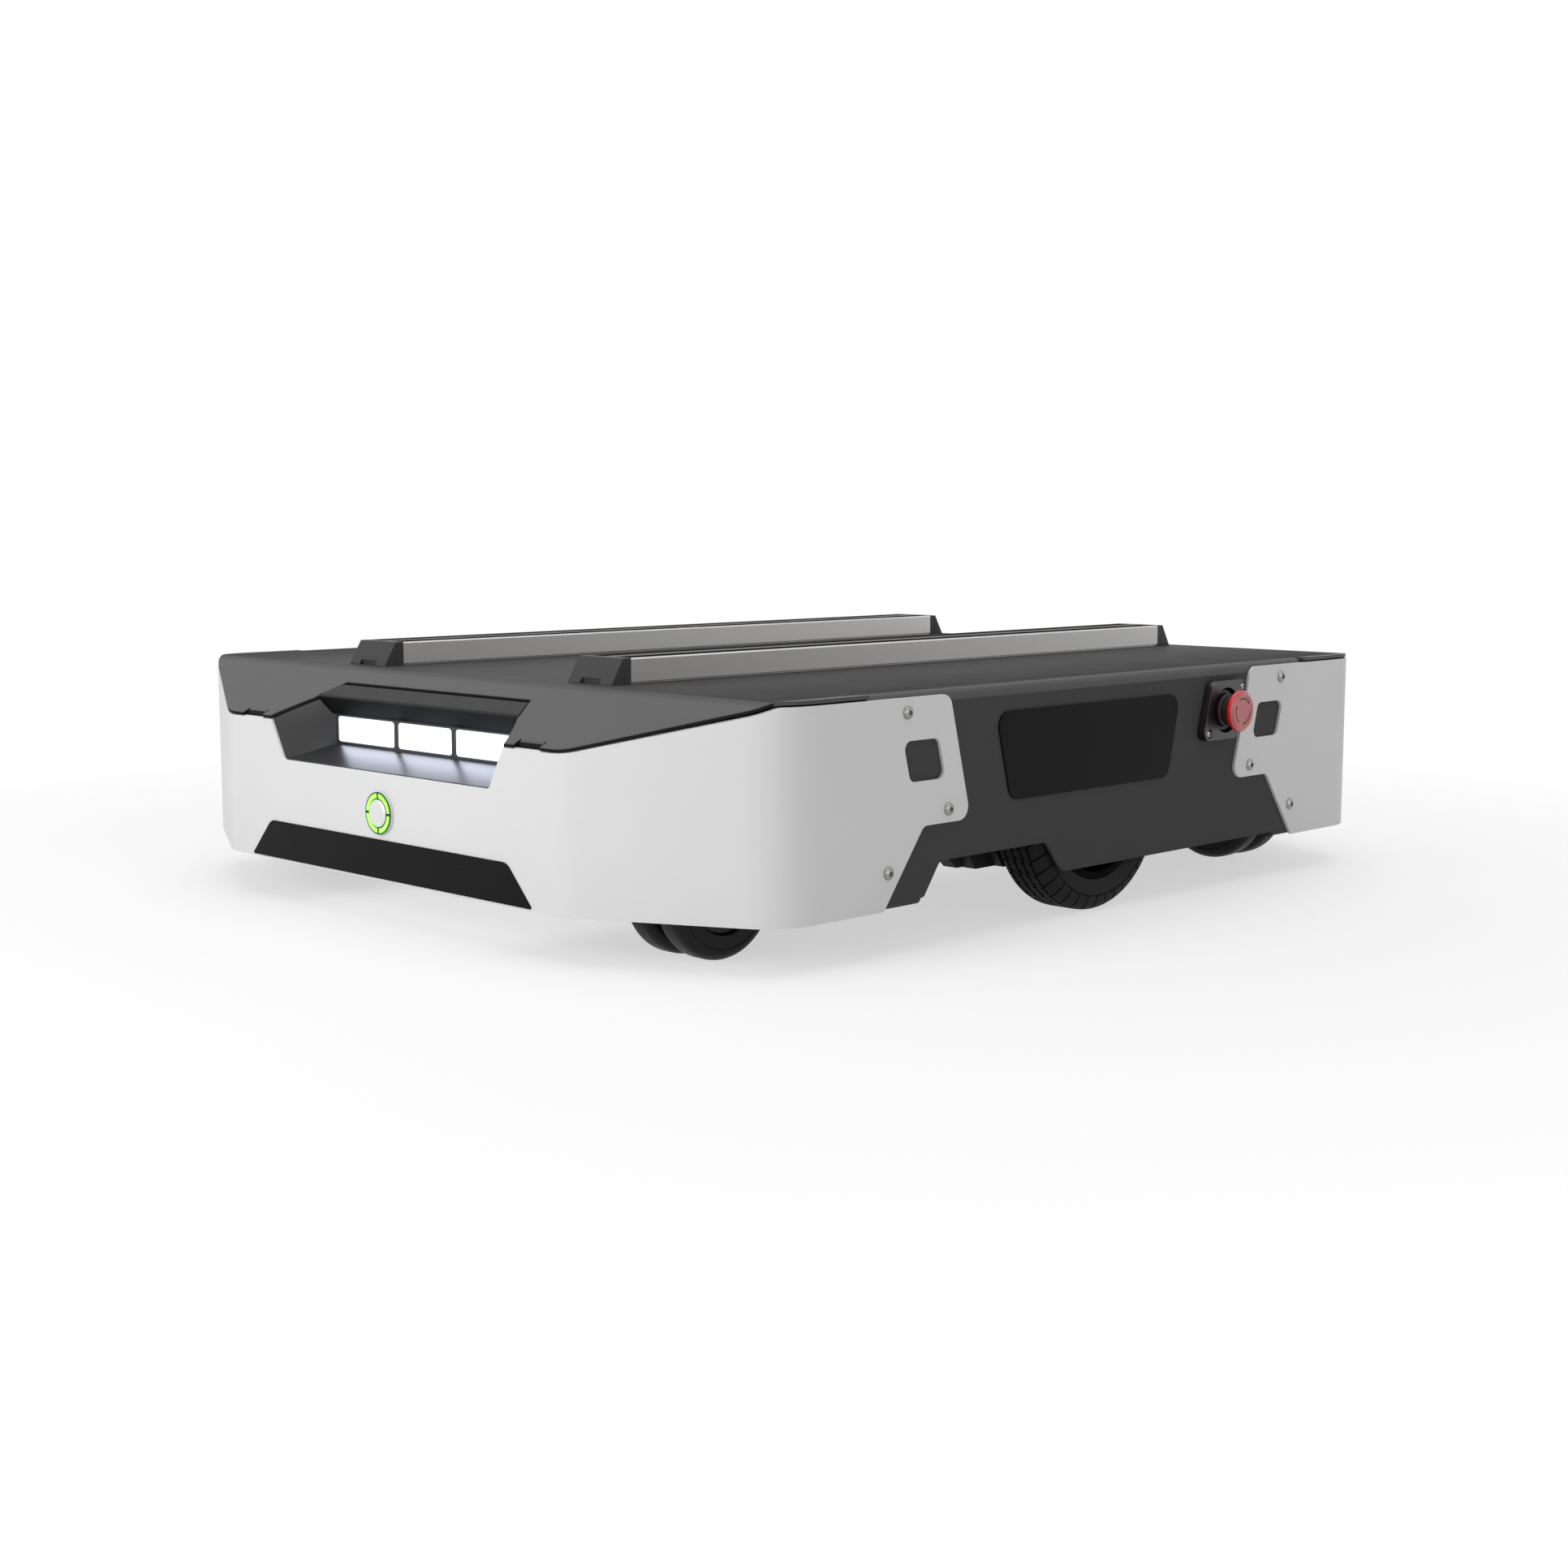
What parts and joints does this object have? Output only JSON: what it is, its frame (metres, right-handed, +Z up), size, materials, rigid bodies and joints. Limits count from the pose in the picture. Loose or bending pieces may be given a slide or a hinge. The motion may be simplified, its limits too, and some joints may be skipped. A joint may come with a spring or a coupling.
{
  "type": "mobile robot base",
  "caption": "Low differential-drive robot base with sheet shells, slotted payload rails, a light bar, stop buttons, sprung drive wheels and twin-wheel swivel casters.",
  "frame": {"origin": "on the floor under the middle of the body's bounding box", "axes": "+X forward to the headlight and power button, +Y left, +Z up"},
  "size_m": [0.705, 0.6068, 0.1655],
  "materials": {
    "white_shell": "semi-gloss white powder coat",
    "dark_deck": "satin dark grey powder coat",
    "frame_paint": "satin black paint",
    "rail_aluminium": "anodised extrusion",
    "black_plastic": "fine matte moulding",
    "badge_black": "bare black badge plate",
    "lamp_white": "white diffuser, lit",
    "lamp_red": "red diffuser",
    "ring_green": "green light guide, lit",
    "steel": "plain steel",
    "button_metal": "spun metal cap",
    "stop_red": "satin red moulding",
    "tyre_rubber": "black tyre rubber",
    "caster_rubber": "smooth black tread",
    "rim_metal": "black painted rim",
    "drive_metal": "black drive unit",
    "spring_steel": "oiled spring steel",
    "circuit_board": "green circuit board",
    "driver_metal": "finned heat sink",
    "battery_case": "dark battery case"
  },
  "bodies": {
    "chassis": {"battery_pack": "battery_case", "belly_pan": "rail_aluminium", "button_head_screws": "steel", "caster_mounts": "steel", "charging_socket": "black_plastic", "chassis_frame": "frame_paint", "control_board": "circuit_board", "data_socket": "black_plastic", "deck_plate": "dark_deck", "estop_bodies": "black_plastic", "estop_plates": "black_plastic", "front_badge_plate": "badge_black", "front_shell": "white_shell", "headlight_hood": "black_plastic", "headlight_housing": "black_plastic", "headlight_lenses": "lamp_white", "left_rail": "rail_aluminium", "left_spring": "spring_steel", "light_boards": "circuit_board", "motor_driver": "driver_metal", "pivot_pins": "steel", "power_button_body": "black_plastic", "power_button_ring": "ring_green", "rail_end_caps": "black_plastic", "rear_shell": "white_shell", "right_rail": "rail_aluminium", "right_spring": "spring_steel", "side_badge_plates": "badge_black", "tail_light_hood": "black_plastic", "tail_light_housing": "black_plastic", "tail_light_lenses": "lamp_red"},
    "left_suspension": {"left_swing_arm": "drive_metal", "left_gearbox": "drive_metal", "left_motor": "drive_metal"},
    "left_drive_wheel": {"left_drive_tyre": "tyre_rubber", "left_drive_rim": "rim_metal", "left_drive_shaft": "steel"},
    "left_estop_plunger": {"left_estop_stem": "steel"},
    "left_estop_knob": {"left_estop_head": "stop_red"},
    "right_suspension": {"right_swing_arm": "drive_metal", "right_gearbox": "drive_metal", "right_motor": "drive_metal"},
    "right_drive_wheel": {"right_drive_tyre": "tyre_rubber", "right_drive_rim": "rim_metal", "right_drive_shaft": "steel"},
    "right_estop_plunger": {"right_estop_stem": "steel"},
    "right_estop_knob": {"right_estop_head": "stop_red"},
    "front_left_caster": {"front_left_caster_fork": "steel"},
    "front_left_caster_wheel_a": {"front_left_caster_wheel_a": "caster_rubber"},
    "front_left_caster_wheel_b": {"front_left_caster_wheel_b": "caster_rubber"},
    "front_right_caster": {"front_right_caster_fork": "steel"},
    "front_right_caster_wheel_a": {"front_right_caster_wheel_a": "caster_rubber"},
    "front_right_caster_wheel_b": {"front_right_caster_wheel_b": "caster_rubber"},
    "rear_left_caster": {"rear_left_caster_fork": "steel"},
    "rear_left_caster_wheel_a": {"rear_left_caster_wheel_a": "caster_rubber"},
    "rear_left_caster_wheel_b": {"rear_left_caster_wheel_b": "caster_rubber"},
    "rear_right_caster": {"rear_right_caster_fork": "steel"},
    "rear_right_caster_wheel_a": {"rear_right_caster_wheel_a": "caster_rubber"},
    "rear_right_caster_wheel_b": {"rear_right_caster_wheel_b": "caster_rubber"},
    "power_button": {"power_button_cap": "button_metal"}
  },
  "joints": [
    {"name": "left_suspension_swing", "type": "hinge", "parent": "chassis", "child": "left_suspension", "pos_m": [0.095, 0.219, 0.074], "axis": [0, 1, 0], "range_deg": [-3, 4], "stiffness_Nm_per_rad": 115, "springref_deg": -1.72, "deforming": ["left_spring"]},
    {"name": "left_wheel_spin", "type": "hinge", "parent": "left_suspension", "child": "left_drive_wheel", "pos_m": [0, 0.261, 0.067], "axis": [0, 1, 0], "continuous": true},
    {"name": "left_estop_push", "type": "slide", "parent": "chassis", "child": "left_estop_plunger", "axis": [0, -1, 0], "range_m": [0, 0.004], "stiffness_N_per_m": 1500},
    {"name": "left_estop_twist", "type": "hinge", "parent": "left_estop_plunger", "child": "left_estop_knob", "pos_m": [-0.1212, 0.298, 0.1203], "axis": [0, -1, 0], "range_deg": [0, 45], "stiffness_Nm_per_rad": 0.15},
    {"name": "right_suspension_swing", "type": "hinge", "parent": "chassis", "child": "right_suspension", "pos_m": [0.095, -0.219, 0.074], "axis": [0, 1, 0], "range_deg": [-3, 4], "stiffness_Nm_per_rad": 115, "springref_deg": -1.72, "deforming": ["right_spring"]},
    {"name": "right_wheel_spin", "type": "hinge", "parent": "right_suspension", "child": "right_drive_wheel", "pos_m": [0, -0.261, 0.067], "axis": [0, 1, 0], "continuous": true},
    {"name": "right_estop_push", "type": "slide", "parent": "chassis", "child": "right_estop_plunger", "axis": [0, 1, 0], "range_m": [0, 0.004], "stiffness_N_per_m": 1500},
    {"name": "right_estop_twist", "type": "hinge", "parent": "right_estop_plunger", "child": "right_estop_knob", "pos_m": [-0.1212, -0.298, 0.1203], "axis": [0, 1, 0], "range_deg": [0, 45], "stiffness_Nm_per_rad": 0.15},
    {"name": "front_left_caster_swivel", "type": "hinge", "parent": "chassis", "child": "front_left_caster", "pos_m": [0.249, 0.2026, 0.09], "axis": [0, 0, 1], "continuous": true},
    {"name": "front_left_caster_wheel_a_spin", "type": "hinge", "parent": "front_left_caster", "child": "front_left_caster_wheel_a", "pos_m": [0.274, 0.2026, 0.04], "axis": [0, 1, 0], "continuous": true},
    {"name": "front_left_caster_wheel_b_spin", "type": "hinge", "parent": "front_left_caster", "child": "front_left_caster_wheel_b", "pos_m": [0.274, 0.2026, 0.04], "axis": [0, 1, 0], "continuous": true},
    {"name": "front_right_caster_swivel", "type": "hinge", "parent": "chassis", "child": "front_right_caster", "pos_m": [0.249, -0.2026, 0.09], "axis": [0, 0, 1], "continuous": true},
    {"name": "front_right_caster_wheel_a_spin", "type": "hinge", "parent": "front_right_caster", "child": "front_right_caster_wheel_a", "pos_m": [0.224, -0.2026, 0.04], "axis": [0, 1, 0], "continuous": true},
    {"name": "front_right_caster_wheel_b_spin", "type": "hinge", "parent": "front_right_caster", "child": "front_right_caster_wheel_b", "pos_m": [0.224, -0.2026, 0.04], "axis": [0, 1, 0], "continuous": true},
    {"name": "rear_left_caster_swivel", "type": "hinge", "parent": "chassis", "child": "rear_left_caster", "pos_m": [-0.249, 0.1814, 0.09], "axis": [0, 0, 1], "continuous": true},
    {"name": "rear_left_caster_wheel_a_spin", "type": "hinge", "parent": "rear_left_caster", "child": "rear_left_caster_wheel_a", "pos_m": [-0.249, 0.2064, 0.04], "axis": [1, 0, 0], "continuous": true},
    {"name": "rear_left_caster_wheel_b_spin", "type": "hinge", "parent": "rear_left_caster", "child": "rear_left_caster_wheel_b", "pos_m": [-0.249, 0.2064, 0.04], "axis": [1, 0, 0], "continuous": true},
    {"name": "rear_right_caster_swivel", "type": "hinge", "parent": "chassis", "child": "rear_right_caster", "pos_m": [-0.249, -0.1814, 0.09], "axis": [0, 0, 1], "continuous": true},
    {"name": "rear_right_caster_wheel_a_spin", "type": "hinge", "parent": "rear_right_caster", "child": "rear_right_caster_wheel_a", "pos_m": [-0.249, -0.2064, 0.04], "axis": [1, 0, 0], "continuous": true},
    {"name": "rear_right_caster_wheel_b_spin", "type": "hinge", "parent": "rear_right_caster", "child": "rear_right_caster_wheel_b", "pos_m": [-0.249, -0.2064, 0.04], "axis": [1, 0, 0], "continuous": true},
    {"name": "power_button_press", "type": "slide", "parent": "chassis", "child": "power_button", "axis": [-1, 0, 0], "range_m": [0, 0.0025], "stiffness_N_per_m": 1200}
  ]
}
